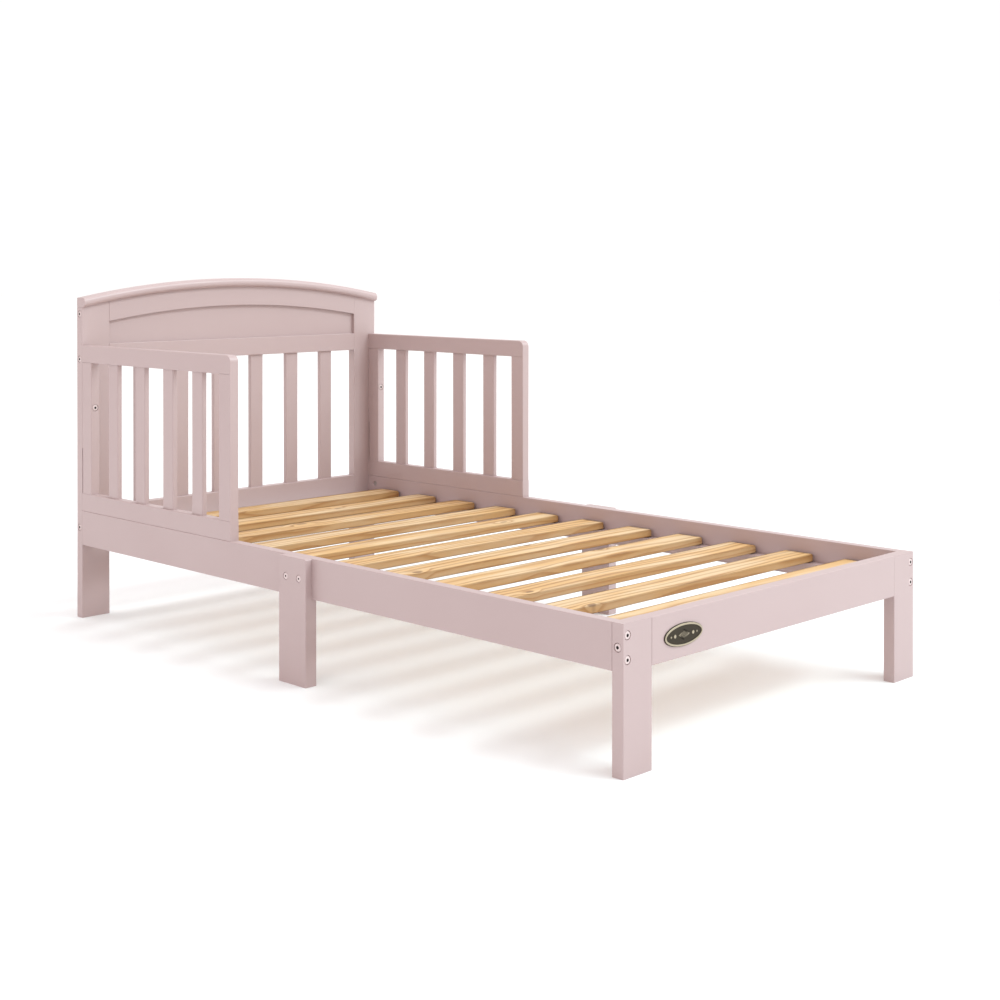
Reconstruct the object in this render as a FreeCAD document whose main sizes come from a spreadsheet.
import FreeCAD, Part
import math
import os
import re

import Sketcher
from FreeCAD import Rotation, Vector

# A toddler bed in painted wood with a natural slatted base. It stands on the floor at Z = 0, centred
# on X and Y, with its head towards +Y and its foot towards -Y. Every board lies along the axes.
# The pieces of the +X side are modelled, and the -X side is their mirror image.

# ---------------------------------------------------------------------------------------------------
# Driving dimensions, in millimetres
# ---------------------------------------------------------------------------------------------------

SIZES = {
    # overall
    "bed_length": 1381.0,            # front of the foot legs to the back of the head posts
    "bed_width": 742.0,              # across the outside of the side rails
    "edge_radius": 1.2,              # softened edges of the painted boards
    # side rails, in a head half and a foot half
    "rail_top": 207.0,
    "rail_height": 66.0,
    "side_rail_thickness": 18.0,
    # foot end
    "foot_thickness": 20.0,
    "foot_leg_width": 60.0,
    # middle legs
    "middle_leg_width": 70.0,
    "middle_leg_lip": 13.0,          # stands outside the side rails
    "middle_leg_ledge": 9.0,         # reaches under the side rails
    "middle_leg_corner": 3.0,
    # headboard
    "post_width": 60.0,
    "post_thickness": 19.0,
    "crown_underside": 635.0,        # underside of the cap at the middle of its arch
    "arch_rise": 36.0,               # fall of the arch from the middle to the ends
    "cap_thickness": 18.0,
    "cap_overhang": 10.0,
    "cap_nose_radius": 8.5,
    "arched_rail_height": 37.5,
    "panel_thickness": 5.0,
    "tongue_length": 3.0,            # of the panel, in the grooves round it
    "middle_rail_bottom": 491.0,
    "middle_rail_height": 37.0,
    "bottom_rail_height": 70.0,
    "headboard_slat_count": 6,
    "headboard_end_gap": 61.5,
    # guards
    "guard_length": 482.5,
    "guard_height": 319.0,
    "guard_thickness": 18.0,
    "guard_top_rail_height": 33.0,
    "guard_bottom_rail_height": 34.0,
    "stile_width": 33.0,
    "guard_corner_radius": 12.0,
    "guard_spindle_count": 4,
    "guard_end_gap": 55.0,
    "relief_height": 87.0,           # of the slot beside the post, from the stile's foot
    "relief_depth": 3.0,
    # upright slats of the headboard and the guards
    "spindle_width": 32.0,
    "spindle_thickness": 10.0,
    "spindle_edge_radius": 2.0,
    "tenon_length": 8.0,
    "socket_spare": 1.0,             # left free at the bottom of a mortise or groove
    # slatted base
    "base_slat_count": 11,
    "base_slat_width": 60.0,
    "base_slat_thickness": 15.0,
    "base_slat_drop": 24.0,          # from the top of the rails down to the top of the slats
    "base_slat_foot_gap": 40.0,      # from the foot rail to the first slat
    "base_slat_head_gap": 50.0,      # from the last slat to the headboard
    "base_slat_clearance": 2.5,
    "base_slat_corner": 7.0,
    "base_slat_edge_radius": 5.0,
    "ledger_size": 18.0,
    "slat_screw_offset": 15.0,       # beside each slat's middle line, clear of the ledgers' joint
    # fasteners
    "bolt_diameter": 6.0,
    "bolt_play": 0.5,
    "bolt_head_diameter": 11.5,
    "bolt_head_height": 2.5,
    "bolt_head_edge": 0.8,           # rounding of a head's outer edge
    "recess_play": 1.5,              # how much wider a head's recess is than the head
    "bolt_socket_size": 5.0,         # across the corners of the hexagonal socket
    "bolt_socket_depth": 1.8,
    "bolt_grip": 31.0,               # length of bolt inside the end of a rail
    "bolt_pair_spacing": 33.0,
    "nut_diameter": 10.0,
    "nut_length": 13.0,
    "nut_sink": 0.6,                 # below the face that the nut goes in from
    "nut_distance": 23.0,            # from the rail's end to the middle of its barrel nut
    "nut_wall": 2.0,                 # wood between the arched rail's nuts and its groove's panel
    "middle_bolt_rise": 8.0,         # above the lower edge of the middle rail
    "leg_screw_spacing": 34.0,
    "leg_screw_bite": 12.0,
    "leg_screw_head_diameter": 11.5,
    "leg_screw_play": 0.8,           # these screws sit closer in their recesses than the bolts
    "leg_screw_socket_size": 3.5,
    "guard_screw_height": 200.0,     # above the guard's foot
    "guard_screw_bite": 13.0,
    "slat_screw_diameter": 4.0,
    "slat_screw_bite": 8.0,
    "slat_screw_head_diameter": 8.0,
    "slat_screw_head_height": 3.0,
    # badge
    "badge_width": 85.0,
    "badge_height": 32.0,
    "badge_thickness": 2.5,
    "badge_rim": 3.0,
    "badge_rim_height": 1.0,
    "badge_inset": 25.0,             # from the foot leg to the badge's end
    "badge_middle_height": 172.5,
}

# Places and sizes that follow from the driving dimensions.
PLACES = {
    "half_width": "bed_width / 2",
    "foot_face": "-bed_length / 2",
    "head_back": "bed_length / 2",
    "head_face": "head_back - post_thickness",
    "head_middle": "head_back - post_thickness / 2",
    "foot_inner": "foot_face + foot_thickness",
    "foot_middle": "foot_face + foot_thickness / 2",
    "bed_middle": "(foot_inner + head_face) / 2",
    "half_rail_length": "(head_face - foot_inner) / 2",
    "rail_bottom": "rail_top - rail_height",
    "rail_middle": "rail_top - rail_height / 2",
    "rail_inner": "half_width - side_rail_thickness",
    "rail_centre": "half_width - side_rail_thickness / 2",
    "post_inner": "half_width - post_width",
    "leg_inner": "half_width - foot_leg_width",
    "bolt_pair_low": "rail_middle - bolt_pair_spacing / 2",
    "bolt_hole": "bolt_diameter + bolt_play",
    "bolt_recess": "bolt_head_diameter + recess_play",
    "leg_screw_recess": "leg_screw_head_diameter + leg_screw_play",
    "arch_radius": "(half_width ^ 2 + arch_rise ^ 2) / (2 * arch_rise)",
    "arch_centre": "crown_underside - arch_radius",
    "arched_rail_radius": "arch_radius - arched_rail_height",
    "arched_rail_corner": "arch_centre + sqrt(arched_rail_radius ^ 2 - post_inner ^ 2)",
    "arched_nut_end": "post_inner - nut_distance - nut_diameter / 2",
    "arched_rail_over_nut": "arch_centre + sqrt(arched_rail_radius ^ 2 - arched_nut_end ^ 2)",
    "arched_bolt_height": "arched_rail_over_nut + tongue_length + nut_wall + nut_diameter / 2",
    "middle_bolt_height": "middle_rail_bottom + middle_bolt_rise",
    "middle_rail_top": "middle_rail_bottom + middle_rail_height",
    "bottom_rail_top": "rail_bottom + bottom_rail_height",
    "groove_depth": "tongue_length + socket_spare",
    "mortise_depth": "tenon_length + socket_spare",
    "nut_hole_depth": "nut_sink + nut_length",
    "groove_front": "(post_thickness - panel_thickness) / 2",
    "headboard_first_slat": "-post_inner + headboard_end_gap",
    "headboard_slat_pitch":
        "(2 * post_inner - 2 * headboard_end_gap - spindle_width) / (headboard_slat_count - 1)",
    "headboard_slat_inset": "(post_thickness - spindle_thickness) / 2",
    "guard_front": "head_face - guard_length",
    "guard_inner": "half_width - guard_thickness",
    "guard_centre": "half_width - guard_thickness / 2",
    "guard_top": "rail_top + guard_height",
    "guard_top_rail_bottom": "guard_top - guard_top_rail_height",
    "guard_bottom_rail_top": "rail_top + guard_bottom_rail_height",
    "stile_height": "guard_top_rail_bottom - guard_bottom_rail_top",
    "guard_opening": "guard_length - 2 * stile_width",
    "guard_spindle_pitch":
        "(guard_opening - 2 * guard_end_gap - spindle_width) / (guard_spindle_count - 1)",
    "guard_first_spindle": "stile_width + guard_end_gap",
    "guard_spindle_inset": "(guard_thickness - spindle_thickness) / 2",
    "guard_screw_z": "rail_top + guard_screw_height",
    "base_slat_top": "rail_top - base_slat_drop",
    "base_slat_bottom": "base_slat_top - base_slat_thickness",
    "base_slat_length": "2 * (rail_inner - base_slat_clearance)",
    "base_slat_run":
        "2 * half_rail_length - base_slat_foot_gap - base_slat_head_gap - base_slat_width",
    "base_slat_pitch": "base_slat_run / (base_slat_count - 1)",
    "ledger_inner": "rail_inner - ledger_size",
    "ledger_bottom": "base_slat_bottom - ledger_size",
    "ledger_centre": "rail_inner - ledger_size / 2",
    "slat_screw_line": "base_slat_width / 2 + slat_screw_offset",
    "badge_centre": "-leg_inner + badge_inset + badge_width / 2",
}

# A straight edge shorter than this is left sharp.
SHORT_EDGE = 0.5

# How near two values must be to count as the same place.
NEAR = 0.01

# ---------------------------------------------------------------------------------------------------
# The document, its spreadsheet, and the formulas that bind the model to it
# ---------------------------------------------------------------------------------------------------

doc = FreeCAD.newDocument("ToddlerBed")
sheet = doc.addObject("Spreadsheet::Sheet", "Sizes")
for row, (alias, size) in enumerate(SIZES.items(), start=1):
    sheet.set(f"A{row}", str(size))
    sheet.setAlias(f"A{row}", alias)
doc.recompute()

pieces = []


def formula(text):
    """Spells a formula out in the spreadsheet's own cells."""
    def spell(match):
        word = match.group(0)
        if word in PLACES:
            return "(" + formula(PLACES[word]) + ")"
        if word in SIZES:
            return "Sizes." + word
        return word
    return re.sub(r"[a-z][a-z_]+", spell, text)


def number(text):
    """The present value of a formula."""
    return float(sheet.evalExpression(formula(text)))


def bind(item, setting, text):
    """Ties a property or a sketch's constraint to a formula."""
    item.setExpression(setting, formula(text))


def place(item, x="0", y="0", z="0"):
    """Puts an object's origin at a point given by three formulas."""
    for axis, text in (("x", x), ("y", y), ("z", z)):
        if text != "0":
            bind(item, f"Placement.Base.{axis}", text)


def keep(item, label):
    """Names a finished piece and lists it for export."""
    item.Label = label
    pieces.append(item)
    return item


# ---------------------------------------------------------------------------------------------------
# Sketches
# ---------------------------------------------------------------------------------------------------

ORIGIN = (-1, 1)
ACROSS_AXIS = -1
UP_AXIS = -2
START, END, CENTRE = 1, 2, 3


def new_body(name, x="0", y="0", z="0"):
    body = doc.addObject("PartDesign::Body", name)
    place(body, x, y, z)
    return body


def new_sketch(body, role, offset="0"):
    """A sketch on one of the body's own planes, moved along the plane's normal."""
    sketch = body.newObject("Sketcher::SketchObject", body.Name + "_sketch")
    plane = [item for item in body.Origin.OriginFeatures if item.Role == role][0]
    sketch.AttachmentSupport = [(plane, "")]
    sketch.MapMode = "FlatFace"
    if offset != "0":
        bind(sketch, ".AttachmentOffset.Base.z", offset)
    return sketch


def floor_sketch(body, z="0"):
    """A sketch in X and Y at a height in the body."""
    return new_sketch(body, "XY_Plane", z)


def front_sketch(body, y="0"):
    """A sketch in X and Z at a depth in the body; this plane's normal is -Y."""
    return new_sketch(body, "XZ_Plane", "0" if y == "0" else f"-({y})")


def side_sketch(body, x="0"):
    """A sketch in Y and Z at a distance across the body."""
    return new_sketch(body, "YZ_Plane", x)


def measure(sketch, kind, points, text):
    """A dimension between two points, or of a circle, bound to a formula."""
    index = sketch.addConstraint(Sketcher.Constraint(kind, *points, abs(number(text))))
    bind(sketch, f"Constraints[{index}]", text)


def locate(sketch, point, across=None, up=None):
    """Ties one point of a sketch to the sketch's origin, on either side of it."""
    for kind, axis, text in (("DistanceX", UP_AXIS, across), ("DistanceY", ACROSS_AXIS, up)):
        if text is None:
            continue
        distance = number(text)
        if abs(distance) < 1e-9:
            sketch.addConstraint(Sketcher.Constraint("PointOnObject", *point, axis))
        elif distance > 0:
            measure(sketch, kind, ORIGIN + point, text)
        else:
            measure(sketch, kind, point + ORIGIN, f"-({text})")


def join(sketch, *pairs):
    for first, second in pairs:
        sketch.addConstraint(Sketcher.Constraint("Coincident", *first, *second))


def level(sketch, *lines):
    for line in lines:
        sketch.addConstraint(Sketcher.Constraint("Horizontal", line))


def upright(sketch, *lines):
    for line in lines:
        sketch.addConstraint(Sketcher.Constraint("Vertical", line))


def rectangle(sketch, across, up, width, height):
    """A rectangle from its lower left corner."""
    left, low = number(across), number(up)
    right, high = left + number(width), low + number(height)
    corners = [Vector(left, low), Vector(right, low), Vector(right, high), Vector(left, high)]
    first = sketch.GeometryCount
    for index in range(4):
        sketch.addGeometry(Part.LineSegment(corners[index], corners[(index + 1) % 4]), False)
    bottom, right_side, top, left_side = range(first, first + 4)
    join(sketch, ((bottom, END), (right_side, START)), ((right_side, END), (top, START)),
         ((top, END), (left_side, START)), ((left_side, END), (bottom, START)))
    level(sketch, bottom, top)
    upright(sketch, right_side, left_side)
    locate(sketch, (bottom, START), across, up)
    measure(sketch, "DistanceX", (bottom, START, bottom, END), width)
    measure(sketch, "DistanceY", (right_side, START, right_side, END), height)


def circle(sketch, across, up, diameter):
    centre = Vector(number(across), number(up))
    index = sketch.addGeometry(Part.Circle(centre, Vector(0, 0, 1), number(diameter) / 2), False)
    measure(sketch, "Diameter", (index,), diameter)
    locate(sketch, (index, CENTRE), across, up)


def arch(sketch, left, right, radius):
    """An arc about the arch's centre, drawn from its right end to its left end."""
    size = number(radius)
    centre = Vector(0, number("arch_centre"))
    whole = Part.Circle(centre, Vector(0, 0, 1), size)
    turn_right = math.acos(number(right) / size)
    turn_left = math.acos(number(left) / size)
    index = sketch.addGeometry(Part.ArcOfCircle(whole, turn_right, turn_left), False)
    measure(sketch, "Radius", (index,), radius)
    locate(sketch, (index, CENTRE), "0", "arch_centre")
    return index


def arch_height(across, radius):
    """The height of an arc of the arch at a distance from the middle."""
    return number("arch_centre") + math.sqrt(number(radius) ** 2 - number(across) ** 2)


def line(sketch, start, end):
    return sketch.addGeometry(Part.LineSegment(Vector(*start), Vector(*end)), False)


def arched_board(sketch, left, right, bottom, radius):
    """An upright board with a level foot and a top that follows the arch."""
    low = number(bottom)
    x_left, x_right = number(left), number(right)
    foot = line(sketch, (x_left, low), (x_right, low))
    right_side = line(sketch, (x_right, low), (x_right, arch_height(right, radius)))
    left_side = line(sketch, (x_left, arch_height(left, radius)), (x_left, low))
    top = arch(sketch, left, right, radius)
    join(sketch, ((foot, END), (right_side, START)), ((right_side, END), (top, START)),
         ((top, END), (left_side, START)), ((left_side, END), (foot, START)))
    level(sketch, foot)
    upright(sketch, right_side, left_side)
    locate(sketch, (foot, START), left, bottom)
    locate(sketch, (foot, END), right)


def arched_band(sketch, half, low_radius, high_radius):
    """A band between two arcs about one centre, with upright ends."""
    x_end = number(half)
    low, high = arch_height(half, low_radius), arch_height(half, high_radius)
    right_side = line(sketch, (x_end, low), (x_end, high))
    left_side = line(sketch, (-x_end, high), (-x_end, low))
    underside = arch(sketch, f"-({half})", half, low_radius)
    top = arch(sketch, f"-({half})", half, high_radius)
    join(sketch, ((right_side, END), (top, START)), ((top, END), (left_side, START)),
         ((left_side, END), (underside, END)), ((underside, START), (right_side, START)))
    upright(sketch, right_side, left_side)
    locate(sketch, (right_side, START), half)
    locate(sketch, (left_side, START), f"-({half})")


# ---------------------------------------------------------------------------------------------------
# Features
# ---------------------------------------------------------------------------------------------------

def pad(body, sketch, length, backwards=False):
    feature = body.newObject("PartDesign::Pad", body.Name + "_pad")
    feature.Profile = sketch
    feature.Reversed = backwards
    bind(feature, "Length", length)
    return feature


def cut(body, sketch, depth):
    """A pocket this deep on both sides of its sketch, so it needs no direction."""
    feature = body.newObject("PartDesign::Pocket", body.Name + "_pocket")
    feature.Profile = sketch
    feature.SideType = "Symmetric"
    bind(feature, "Length", f"2 * ({depth})")
    return feature


def ease(body, radius, chosen):
    """Rounds the edges of the body that the test picks out."""
    doc.recompute()
    base = body.Tip
    names = [f"Edge{index}" for index, edge in enumerate(base.Shape.Edges, start=1) if chosen(edge)]
    feature = body.newObject("PartDesign::Fillet", body.Name + "_fillet")
    feature.Base = (base, names)
    bind(feature, "Radius", radius)
    return feature


def runs_along(axis):
    """Picks straight edges parallel to an axis."""
    def chosen(edge):
        if not isinstance(edge.Curve, Part.Line) or edge.Length < SHORT_EDGE:
            return False
        return abs(edge.Curve.Direction.dot(axis)) > 0.999
    return chosen


X_AXIS, Y_AXIS, Z_AXIS = Vector(1, 0, 0), Vector(0, 1, 0), Vector(0, 0, 1)


def board(name, corner, size, grain, edge="edge_radius"):
    """A straight board with its low corner at a point and its long edges softened."""
    body = new_body(name, *corner)
    outline = floor_sketch(body)
    rectangle(outline, "0", "0", size[0], size[1])
    pad(body, outline, size[2])
    ease(body, edge, runs_along(grain))
    return body


def holes_along_x(body, x, centres, diameter, depth):
    """Round holes along X, sunk both ways from a plane; the centres are in Y and Z."""
    sketch = side_sketch(body, x)
    for y, z in centres:
        circle(sketch, y, z, diameter)
    cut(body, sketch, depth)


def holes_along_y(body, y, centres, diameter, depth):
    """Round holes along Y, sunk both ways from a plane; the centres are in X and Z."""
    sketch = front_sketch(body, y)
    for x, z in centres:
        circle(sketch, x, z, diameter)
    cut(body, sketch, depth)


def holes_along_z(body, z, centres, diameter, depth):
    """Round holes along Z, sunk both ways from a plane; the centres are in X and Y."""
    sketch = floor_sketch(body, z)
    for x, y in centres:
        circle(sketch, x, y, diameter)
    cut(body, sketch, depth)


def mirrored(item, label):
    """The same piece for the other side of the bed."""
    twin = doc.addObject("Part::Mirroring", item.Name + "_mirror")
    twin.Source = item
    twin.Normal = X_AXIS
    twin.Base = Vector(0, 0, 0)
    return keep(twin, label)


def both_sides(item, label):
    """Keeps a piece of the +X side and its mirror image."""
    keep(item, label.format("right"))
    mirrored(item, label.format("left"))


# ---------------------------------------------------------------------------------------------------
# Headboard
# ---------------------------------------------------------------------------------------------------

def head_post():
    """A post from the floor to the cap, cut to the arch at its top."""
    post = new_body("head_post", y="head_face")
    outline = front_sketch(post)
    arched_board(outline, "post_inner", "half_width", "0", "arch_radius")
    pad(post, outline, "post_thickness", backwards=True)
    ease(post, "edge_radius", runs_along(Z_AXIS))
    groove = side_sketch(post, "post_inner")
    groove_bottom = "middle_rail_top - groove_depth"
    groove_height = f"arched_rail_corner + groove_depth - ({groove_bottom})"
    rectangle(groove, "groove_front", groove_bottom, "panel_thickness", groove_height)
    cut(post, groove, "groove_depth")
    middle = "post_thickness / 2"
    heights = ("rail_middle", "middle_bolt_height", "arched_bolt_height")
    edge_bolts = [(middle, z) for z in heights]
    holes_along_x(post, "half_width", edge_bolts, "bolt_hole", "post_width")
    holes_along_x(post, "half_width", edge_bolts, "bolt_recess", "bolt_head_height")
    pair = [("rail_centre", "bolt_pair_low"), ("rail_centre", "bolt_pair_low + bolt_pair_spacing")]
    holes_along_y(post, "0", pair, "bolt_hole", "post_thickness")
    holes_along_y(post, "post_thickness", pair, "bolt_recess", "bolt_head_height")
    holes_along_y(post, "0", [("guard_centre", "guard_screw_z")], "bolt_diameter", "guard_screw_bite")
    both_sides(post, "headboard_post_{}")


def headboard_cap():
    """The arched cap, with a round nose that stands out in front of the headboard."""
    cap = new_body("headboard_cap", y="head_face - cap_overhang")
    outline = front_sketch(cap)
    arched_band(outline, "half_width", "arch_radius", "arch_radius + cap_thickness")
    pad(cap, outline, "post_thickness + cap_overhang", backwards=True)

    def nose_edge(edge):
        """The long edges of the front face."""
        return not runs_along(Z_AXIS)(edge) and all(abs(v.Point.y) < NEAR for v in edge.Vertexes)

    ease(cap, "cap_nose_radius", nose_edge)
    half_width = number("half_width")

    def end_edge(edge):
        return all(abs(abs(v.Point.x) - half_width) < NEAR for v in edge.Vertexes)

    ease(cap, "edge_radius", end_edge)
    keep(cap, "headboard_cap")


def end_joints(rail, z):
    """Bolt holes in both ends of a headboard rail, and the nut holes in its back."""
    ends = ("post_inner", "-post_inner")
    for end in ends:
        holes_along_x(rail, end, [("post_thickness / 2", z)], "bolt_hole", "bolt_grip + bolt_play")
    nuts = [("post_inner - nut_distance", z), ("nut_distance - post_inner", z)]
    holes_along_y(rail, "post_thickness", nuts, "nut_diameter", "nut_hole_depth")


def arched_rail():
    rail = new_body("arched_rail", y="head_face")
    outline = front_sketch(rail)
    arched_band(outline, "post_inner", "arched_rail_radius", "arch_radius")
    pad(rail, outline, "post_thickness", backwards=True)
    groove = front_sketch(rail, "post_thickness / 2")
    arched_band(groove, "post_inner", "arched_rail_radius - 1", "arched_rail_radius + groove_depth")
    cut(rail, groove, "panel_thickness / 2")
    end_joints(rail, "arched_bolt_height")
    keep(rail, "headboard_arched_rail")


def headboard_panel():
    """The thin panel, with a tongue on all sides in the grooves of its frame."""
    panel = new_body("headboard_panel", y="head_face + groove_front")
    outline = front_sketch(panel)
    side = "post_inner + tongue_length"
    bottom = "middle_rail_top - tongue_length"
    arched_board(outline, f"-({side})", side, bottom, "arched_rail_radius + tongue_length")
    pad(panel, outline, "panel_thickness", backwards=True)
    keep(panel, "headboard_panel")


def headboard_mortises(rail, z):
    """Mortises for the upright slats, in a rail whose origin is at the bed's middle."""
    sketch = floor_sketch(rail, z)
    for index in range(int(number("headboard_slat_count"))):
        left = f"headboard_first_slat + {index} * headboard_slat_pitch"
        rectangle(sketch, left, "headboard_slat_inset", "spindle_width", "spindle_thickness")
    cut(rail, sketch, "mortise_depth")


def headboard_rail(name, bottom, height):
    """A straight rail between the posts, drawn about the bed's middle at its real height."""
    rail = new_body(name, y="head_face")
    outline = front_sketch(rail)
    rectangle(outline, "-post_inner", bottom, "2 * post_inner", height)
    pad(rail, outline, "post_thickness", backwards=True)
    ease(rail, "edge_radius", runs_along(X_AXIS))
    return rail


def middle_rail():
    rail = headboard_rail("middle_rail", "middle_rail_bottom", "middle_rail_height")
    groove = front_sketch(rail, "post_thickness / 2")
    rectangle(groove, "-post_inner", "middle_rail_top - groove_depth", "2 * post_inner",
              "groove_depth + edge_radius")
    cut(rail, groove, "panel_thickness / 2")
    headboard_mortises(rail, "middle_rail_bottom")
    end_joints(rail, "middle_bolt_height")
    keep(rail, "headboard_middle_rail")


def bottom_rail():
    rail = headboard_rail("bottom_rail", "rail_bottom", "bottom_rail_height")
    headboard_mortises(rail, "bottom_rail_top")
    end_joints(rail, "rail_middle")
    keep(rail, "headboard_bottom_rail")


def headboard_slats():
    length = "middle_rail_bottom - bottom_rail_top + 2 * tenon_length"
    for index in range(int(number("headboard_slat_count"))):
        left = f"headboard_first_slat + {index} * headboard_slat_pitch"
        corner = (left, "head_face + headboard_slat_inset", "bottom_rail_top - tenon_length")
        size = ("spindle_width", "spindle_thickness", length)
        slat = board(f"headboard_slat_{index + 1}", corner, size, Z_AXIS, "spindle_edge_radius")
        keep(slat, f"headboard_slat_{index + 1}")


# ---------------------------------------------------------------------------------------------------
# Guards
# ---------------------------------------------------------------------------------------------------

def spindle_mortises(rail, z):
    sketch = floor_sketch(rail, z)
    for index in range(int(number("guard_spindle_count"))):
        front = f"guard_first_spindle + {index} * guard_spindle_pitch"
        rectangle(sketch, "guard_spindle_inset", front, "spindle_thickness", "spindle_width")
    cut(rail, sketch, "mortise_depth")


def guard_top_rail():
    """The guard's top rail, with a large round on its front upper corner."""
    rail = new_body("guard_top_rail", "guard_inner", "guard_front", "guard_top_rail_bottom")
    outline = floor_sketch(rail)
    rectangle(outline, "0", "0", "guard_thickness", "guard_length")
    pad(rail, outline, "guard_top_rail_height")
    top = number("guard_top_rail_height")

    def front_corner(edge):
        return all(abs(v.Point.y) < NEAR and abs(v.Point.z - top) < NEAR for v in edge.Vertexes)

    ease(rail, "guard_corner_radius", front_corner)

    def long_top_edge(edge):
        middle = edge.valueAt((edge.FirstParameter + edge.LastParameter) / 2)
        on_side = abs(middle.x) < NEAR or abs(middle.x - number("guard_thickness")) < NEAR
        return on_side and not runs_along(Z_AXIS)(edge) and middle.y < number("guard_length") - NEAR

    ease(rail, "edge_radius", long_top_edge)
    spindle_mortises(rail, "0")
    both_sides(rail, "guard_top_rail_{}")


def guard_bottom_rail():
    corner = ("guard_inner", "guard_front", "rail_top")
    size = ("guard_thickness", "guard_length", "guard_bottom_rail_height")
    rail = board("guard_bottom_rail", corner, size, Y_AXIS)
    spindle_mortises(rail, "guard_bottom_rail_height")
    both_sides(rail, "guard_bottom_rail_{}")


def guard_stiles():
    size = ("guard_thickness", "stile_width", "stile_height")
    front = board("guard_front_stile", ("guard_inner", "guard_front", "guard_bottom_rail_top"),
                  size, Z_AXIS)
    both_sides(front, "guard_front_stile_{}")
    back = board("guard_back_stile", ("guard_inner", "head_face - stile_width", "guard_bottom_rail_top"),
                 size, Z_AXIS)
    screw = ("guard_thickness / 2", "guard_screw_z - guard_bottom_rail_top")
    holes_along_y(back, "0", [screw], "bolt_diameter", "stile_width")
    holes_along_y(back, "0", [screw], "bolt_recess", "bolt_head_height")
    relief = side_sketch(back, "guard_thickness / 2")
    rectangle(relief, "stile_width - relief_depth", "0", "2 * relief_depth", "relief_height")
    cut(back, relief, "guard_thickness")
    both_sides(back, "guard_back_stile_{}")


def guard_spindles():
    size = ("spindle_thickness", "spindle_width", "stile_height + 2 * tenon_length")
    for index in range(int(number("guard_spindle_count"))):
        front = f"guard_front + guard_first_spindle + {index} * guard_spindle_pitch"
        corner = ("guard_inner + guard_spindle_inset", front, "guard_bottom_rail_top - tenon_length")
        name = f"guard_spindle_{index + 1}"
        spindle = board(name, corner, size, Z_AXIS, "spindle_edge_radius")
        both_sides(spindle, "guard_spindle_{}_" + str(index + 1))


# ---------------------------------------------------------------------------------------------------
# Side rails, legs and foot rail
# ---------------------------------------------------------------------------------------------------

def side_rail(name, start, outer_end, nut_place, screw_place, label):
    """Half of a side rail: bolted at its outer end, and screwed to the middle leg at the other."""
    size = ("side_rail_thickness", "half_rail_length", "rail_height")
    rail = board(name, ("rail_inner", start, "rail_bottom"), size, Y_AXIS)
    heights = ("bolt_pair_low - rail_bottom", "bolt_pair_low + bolt_pair_spacing - rail_bottom")
    pair = [("side_rail_thickness / 2", z) for z in heights]
    holes_along_y(rail, outer_end, pair, "bolt_hole", "bolt_grip + bolt_play")
    holes_along_x(rail, "0", [(nut_place, z) for z in heights], "nut_diameter", "nut_hole_depth")
    screw = [(screw_place, "rail_height / 2")]
    holes_along_x(rail, "side_rail_thickness", screw, "bolt_diameter", "leg_screw_bite")
    both_sides(rail, label)


def side_rails():
    half = "half_rail_length"
    side_rail("side_rail_head", "bed_middle", half, f"{half} - nut_distance",
              "leg_screw_spacing / 2", "side_rail_head_{}")
    side_rail("side_rail_foot", "foot_inner", "0", "nut_distance",
              f"{half} - leg_screw_spacing / 2", "side_rail_foot_{}")


def middle_leg():
    """A leg across the joint of the side rails: a ledge below them and a lip outside them."""
    leg = new_body("middle_leg", "half_width", "bed_middle - middle_leg_width / 2")
    outline = front_sketch(leg)
    rectangle(outline, "-middle_leg_ledge", "0", "middle_leg_ledge + middle_leg_lip", "rail_top")
    pad(leg, outline, "middle_leg_width", backwards=True)
    seat = front_sketch(leg)
    rectangle(seat, "-middle_leg_ledge", "rail_bottom", "middle_leg_ledge", "rail_height")
    cut(leg, seat, "middle_leg_width")
    top = number("rail_top")

    def top_corner(edge):
        return runs_along(X_AXIS)(edge) and all(abs(v.Point.z - top) < NEAR for v in edge.Vertexes)

    ease(leg, "middle_leg_corner", top_corner)
    lip = number("middle_leg_lip")

    def outer_edge(edge):
        """Any edge of the outer face but the one on the floor."""
        ends = [corner.Point for corner in edge.Vertexes]
        return all(abs(end.x - lip) < NEAR for end in ends) and any(end.z > NEAR for end in ends)

    ease(leg, "edge_radius", outer_edge)
    screws = [(f"(middle_leg_width {sign} leg_screw_spacing) / 2", "rail_middle") for sign in "+-"]
    holes_along_x(leg, "middle_leg_lip / 2", screws, "bolt_diameter", "middle_leg_lip")
    holes_along_x(leg, "middle_leg_lip", screws, "leg_screw_recess", "bolt_head_height")
    both_sides(leg, "middle_leg_{}")


def foot_leg():
    leg = board("foot_leg", ("leg_inner", "foot_face", "0"),
                ("foot_leg_width", "foot_thickness", "rail_top"), Z_AXIS)
    pair = [("rail_centre - leg_inner", "bolt_pair_low"),
            ("rail_centre - leg_inner", "bolt_pair_low + bolt_pair_spacing")]
    holes_along_y(leg, "0", pair, "bolt_hole", "foot_thickness")
    holes_along_y(leg, "0", pair, "bolt_recess", "bolt_head_height")
    edge_bolt = [("foot_thickness / 2", "rail_middle")]
    holes_along_x(leg, "foot_leg_width", edge_bolt, "bolt_hole", "foot_leg_width")
    holes_along_x(leg, "foot_leg_width", edge_bolt, "bolt_recess", "bolt_head_height")
    both_sides(leg, "foot_leg_{}")


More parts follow.
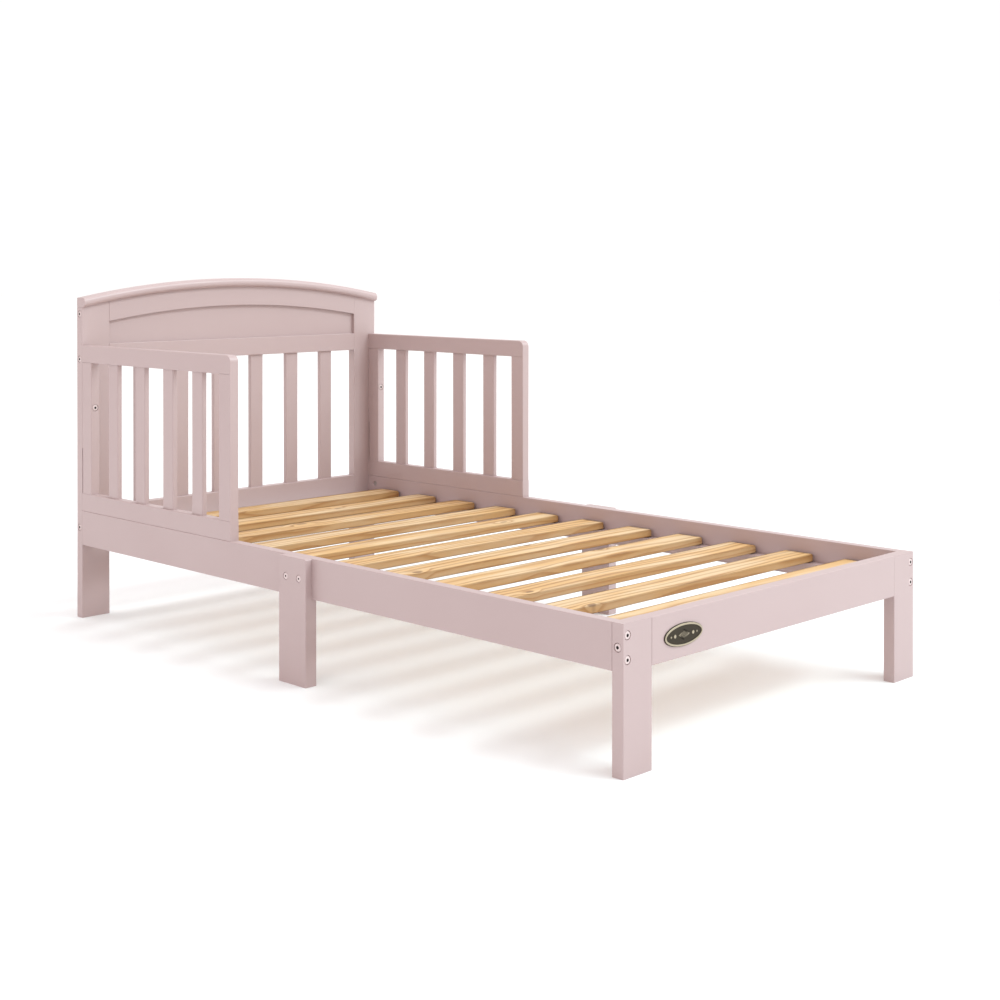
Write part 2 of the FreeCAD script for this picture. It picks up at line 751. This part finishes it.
def foot_rail():
    """The rail between the foot legs, bolted through them at both ends."""
    rail = new_body("foot_rail", y="foot_face")
    outline = front_sketch(rail)
    rectangle(outline, "-leg_inner", "rail_bottom", "2 * leg_inner", "rail_height")
    pad(rail, outline, "foot_thickness", backwards=True)
    ease(rail, "edge_radius", runs_along(X_AXIS))
    for end in ("leg_inner", "-leg_inner"):
        holes_along_x(rail, end, [("foot_thickness / 2", "rail_middle")], "bolt_hole",
                      "bolt_grip + bolt_play")
    nuts = [("leg_inner - nut_distance", "rail_middle"), ("nut_distance - leg_inner", "rail_middle")]
    holes_along_y(rail, "foot_thickness", nuts, "nut_diameter", "nut_hole_depth")
    keep(rail, "foot_rail")


# ---------------------------------------------------------------------------------------------------
# Slatted base
# ---------------------------------------------------------------------------------------------------

def slat_front(index):
    """The foot side of a slat of the base."""
    return f"foot_inner + base_slat_foot_gap + {index} * base_slat_pitch"


def screw_line(index):
    """The line of a slat's two screws, as a place along the bed."""
    return f"{slat_front(index)} + slat_screw_line"


def slats_over(start):
    """The slats whose screws stand in the ledger that starts at a place along the bed."""
    low = number(start)
    high = low + number("half_rail_length")
    count = int(number("base_slat_count"))
    return [index for index in range(count) if low < number(screw_line(index)) < high]


def ledgers():
    size = ("ledger_size", "half_rail_length", "ledger_size")
    for half, start in (("head", "bed_middle"), ("foot", "foot_inner")):
        corner = ("ledger_inner", start, "ledger_bottom")
        ledger = board(f"slat_ledger_{half}", corner, size, Y_AXIS)
        centres = [("ledger_size / 2", f"{screw_line(index)} - ({start})") for index in slats_over(start)]
        holes_along_z(ledger, "0", centres, "slat_screw_diameter", "ledger_size")
        holes_along_z(ledger, "0", centres, "slat_screw_head_diameter", "slat_screw_head_height")
        both_sides(ledger, f"slat_ledger_{half}_" + "{}")


def base_slat(index):
    """A slat with round corners in plan and soft edges all round."""
    name = f"base_slat_{index + 1:02d}"
    slat = new_body(name, "-base_slat_length / 2", slat_front(index), "base_slat_bottom")
    outline = floor_sketch(slat)
    rectangle(outline, "0", "0", "base_slat_length", "base_slat_width")
    pad(slat, outline, "base_slat_thickness")
    ease(slat, "base_slat_corner", runs_along(Z_AXIS))
    thickness = number("base_slat_thickness")

    def face_edge(edge):
        return all(abs(v.Point.z) < NEAR for v in edge.Vertexes) or \
            all(abs(v.Point.z - thickness) < NEAR for v in edge.Vertexes)

    ease(slat, "base_slat_edge_radius", face_edge)
    ends = ("base_slat_length / 2 - ledger_centre", "base_slat_length / 2 + ledger_centre")
    screws = [(x, "slat_screw_line") for x in ends]
    holes_along_z(slat, "0", screws, "slat_screw_diameter", "slat_screw_bite")
    keep(slat, name)


# ---------------------------------------------------------------------------------------------------
# Fasteners and badge
# ---------------------------------------------------------------------------------------------------

# Turns that carry a fastener's own +Z, which points out of its head, to the way it faces.
FACING = {
    "outward": Rotation(Y_AXIS, 90),
    "head": Rotation(X_AXIS, -90),
    "foot": Rotation(X_AXIS, 90),
    "inward": Rotation(Y_AXIS, -90),
    "down": Rotation(X_AXIS, 180),
}


def cylinder(diameter, height, z="0"):
    item = doc.addObject("Part::Cylinder", "Cylinder")
    bind(item, "Radius", f"({diameter}) / 2")
    bind(item, "Height", height)
    place(item, z=z)
    return item


def fuse(first, second):
    item = doc.addObject("Part::Fuse", "Fuse")
    item.Base = first
    item.Tool = second
    return item


def subtract(first, second):
    item = doc.addObject("Part::Cut", "Cut")
    item.Base = first
    item.Tool = second
    return item


def rounded(head):
    """A bolt head with its outer edge rounded."""
    doc.recompute()
    item = doc.addObject("Part::Fillet", "Fillet")
    item.Base = head
    radius = number("bolt_head_edge")
    top = max(edge.BoundBox.ZMax for edge in head.Shape.Edges)
    rims = [n for n, edge in enumerate(head.Shape.Edges, start=1) if edge.BoundBox.ZMin > top - NEAR]
    item.Edges = [(n, radius, radius) for n in rims]
    return item


def set_down(item, facing, spot):
    """Turns a fastener to face its way and puts it at a point of the bed."""
    item.Placement = FreeCAD.Placement(Vector(0, 0, 0), FACING[facing])
    place(item, *spot)
    return item


def bolt(through, facing, spot, head_size="bolt_head_diameter", socket_size="bolt_socket_size"):
    """A bolt with a round-edged head and a hexagonal socket, set flush in its recess. Its origin is
    in the face that the head is flush with, and it goes on through the wood by the given length."""
    head = cylinder(head_size, "bolt_head_height", "-bolt_head_height")
    shank = cylinder("bolt_diameter", f"{through} - bolt_head_height", f"-({through})")
    socket = doc.addObject("Part::Prism", "Prism")
    socket.Polygon = 6
    bind(socket, "Circumradius", f"{socket_size} / 2")
    bind(socket, "Height", "bolt_socket_depth + 1")
    place(socket, z="-bolt_socket_depth")
    return set_down(subtract(fuse(rounded(head), shank), socket), facing, spot)


def barrel_nut(facing, thread_turn, room, spot):
    """A cross dowel below the face of a rail. Its origin is on the bolt's line, and the room is the
    distance from that line out to the face."""
    barrel = cylinder("nut_diameter", "nut_length", f"{room} - nut_sink - nut_length")
    thread = cylinder("bolt_diameter", "2 * nut_diameter")
    thread.Placement = FreeCAD.Placement(Vector(0, 0, 0), thread_turn)
    if thread_turn.Axis.x > 0.5:
        place(thread, y="nut_diameter")
    else:
        place(thread, x="-nut_diameter")
    return set_down(subtract(barrel, thread), facing, spot)


def slat_screw(spot):
    """A wood screw driven up from below; its origin is under its head."""
    head = cylinder("slat_screw_head_diameter", "slat_screw_head_height")
    shank_length = "ledger_size - slat_screw_head_height + slat_screw_bite"
    shank = cylinder("slat_screw_diameter", shank_length, f"-({shank_length})")
    return set_down(fuse(head, shank), "down", spot)


def group(items, label):
    """One node of identical fasteners: those of the +X side and their mirror images."""
    right = doc.addObject("Part::Compound", label + "_right")
    right.Links = items
    left = doc.addObject("Part::Mirroring", label + "_left")
    left.Source = right
    left.Normal = X_AXIS
    both = doc.addObject("Part::Compound", label)
    both.Links = [right, left]
    keep(both, label)


def fasteners():
    rail_bolts = []
    nuts = []
    across_rail = Rotation(X_AXIS, 90)
    for z in ("bolt_pair_low", "bolt_pair_low + bolt_pair_spacing"):
        rail_bolts.append(bolt("post_thickness + bolt_grip", "head", ("rail_centre", "head_back", z)))
        rail_bolts.append(bolt("foot_thickness + bolt_grip", "foot", ("rail_centre", "foot_face", z)))
        for y in ("head_face - nut_distance", "foot_inner + nut_distance"):
            spot = ("rail_centre", y, z)
            nuts.append(barrel_nut("inward", across_rail, "side_rail_thickness / 2", spot))
    group(rail_bolts, "side_rail_bolts")

    edge_bolts = []
    along_rail = Rotation(Y_AXIS, 90)
    for z in ("rail_middle", "middle_bolt_height", "arched_bolt_height"):
        edge_bolts.append(bolt("post_width + bolt_grip", "outward", ("half_width", "head_middle", z)))
        spot = ("post_inner - nut_distance", "head_middle", z)
        nuts.append(barrel_nut("head", along_rail, "post_thickness / 2", spot))
    spot = ("half_width", "foot_middle", "rail_middle")
    edge_bolts.append(bolt("foot_leg_width + bolt_grip", "outward", spot))
    spot = ("leg_inner - nut_distance", "foot_middle", "rail_middle")
    nuts.append(barrel_nut("head", along_rail, "foot_thickness / 2", spot))
    group(edge_bolts, "cross_rail_bolts")
    group(nuts, "barrel_nuts")

    leg_screws = []
    for sign in "+-":
        spot = ("half_width + middle_leg_lip", f"bed_middle {sign} leg_screw_spacing / 2", "rail_middle")
        leg_screws.append(bolt("middle_leg_lip + leg_screw_bite", "outward", spot,
                               "leg_screw_head_diameter", "leg_screw_socket_size"))
    group(leg_screws, "middle_leg_screws")

    spot = ("guard_centre", "head_face - stile_width", "guard_screw_z")
    group([bolt("stile_width + guard_screw_bite", "foot", spot)], "guard_screws")

    screws = []
    for index in range(int(number("base_slat_count"))):
        spot = ("ledger_centre", screw_line(index), "ledger_bottom + slat_screw_head_height")
        screws.append(slat_screw(spot))
    group(screws, "slat_screws")


def oval(width, height, thickness, z="0"):
    """A flat oval plate lying in X and Y."""
    rim = doc.addObject("Part::Ellipse", "Ellipse")
    bind(rim, "MajorRadius", f"({width}) / 2")
    bind(rim, "MinorRadius", f"({height}) / 2")
    place(rim, z=z)
    plate = doc.addObject("Part::Extrusion", "Extrusion")
    plate.Base = rim
    plate.DirMode = "Custom"
    plate.Dir = Z_AXIS
    plate.Solid = True
    bind(plate, "LengthFwd", thickness)
    return plate


def badge():
    """A plain oval badge with a raised rim, on the front of the foot rail."""
    plate = oval("badge_width", "badge_height", "badge_thickness")
    field = oval("badge_width - 2 * badge_rim", "badge_height - 2 * badge_rim", "badge_thickness",
                 "badge_thickness - badge_rim_height")
    spot = ("badge_centre", "foot_face", "badge_middle_height")
    keep(set_down(subtract(plate, field), "foot", spot), "badge_plate")


# ---------------------------------------------------------------------------------------------------
# Build, check and export
# ---------------------------------------------------------------------------------------------------

def build():
    head_post()
    headboard_cap()
    arched_rail()
    headboard_panel()
    middle_rail()
    bottom_rail()
    headboard_slats()
    guard_top_rail()
    guard_bottom_rail()
    guard_stiles()
    guard_spindles()
    side_rails()
    middle_leg()
    foot_leg()
    foot_rail()
    ledgers()
    for index in range(int(number("base_slat_count"))):
        base_slat(index)
    fasteners()
    badge()
    doc.recompute()


def check():
    """Stops if anything failed, a pocket cut nothing, or a sketch is loose."""
    for item in doc.Objects:
        if "Invalid" in item.State or "Error" in item.State:
            raise RuntimeError(f"{item.Label} did not build: {item.State}")
        if item.TypeId == "PartDesign::Pocket":
            if item.BaseFeature.Shape.Volume - item.Shape.Volume < 1.0:
                raise RuntimeError(f"{item.Label} cuts nothing")
        if item.TypeId == "Sketcher::SketchObject" and not item.FullyConstrained:
            raise RuntimeError(f"{item.Label} is not fully constrained")
    for piece in pieces:
        if piece.Shape.isNull() or not piece.Shape.isValid() or not piece.Shape.Solids:
            raise RuntimeError(f"{piece.Label} has no valid shape")


def export():
    os.makedirs("parts", exist_ok=True)
    for piece in pieces:
        piece.Shape.exportStep(f"parts/{piece.Label}.step")
    print(f"{len(pieces)} sub-parts")


build()
check()
export()
